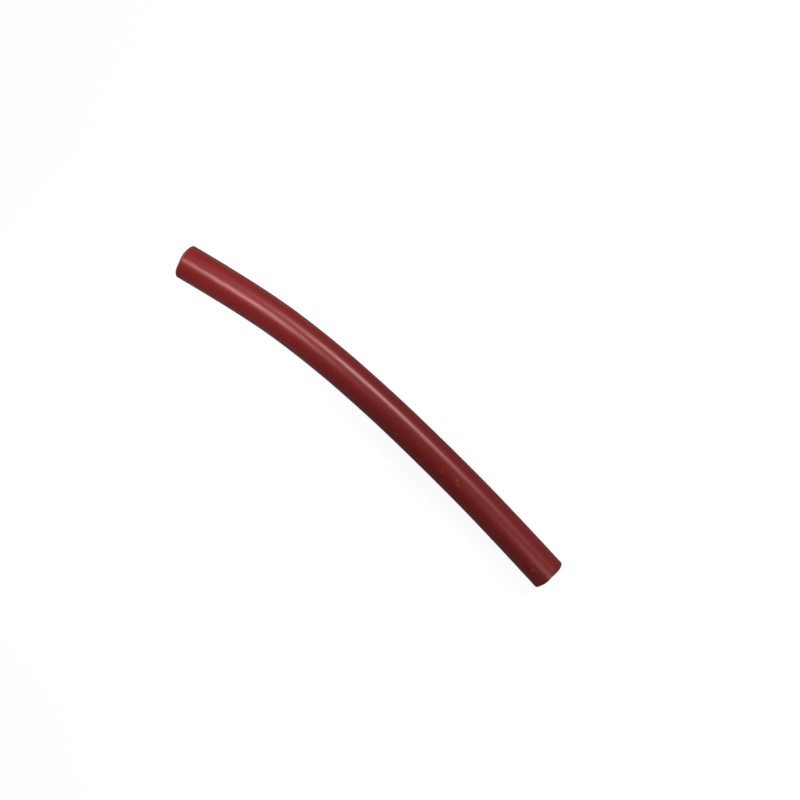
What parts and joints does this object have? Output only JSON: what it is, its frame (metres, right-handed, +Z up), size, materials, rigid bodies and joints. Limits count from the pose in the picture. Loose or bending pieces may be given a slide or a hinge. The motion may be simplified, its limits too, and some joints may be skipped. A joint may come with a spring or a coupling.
{
  "type": "rubber vacuum tubing",
  "caption": "Short length of thick-walled red rubber tubing with a narrow bore, gently bowed, which joins lab glassware to a vacuum line without collapsing.",
  "frame": {"origin": "on the surface that the tube lies on, under the middle of its bounding box", "axes": "+X from the tightly bent end to the slack end, +Y towards the side that the tube bows to, +Z up"},
  "size_m": [0.2191, 0.0248, 0.0159],
  "materials": {
    "red_rubber": "satin"
  },
  "bodies": {
    "root": {"tubing": "red_rubber"}
  },
  "joints": []
}
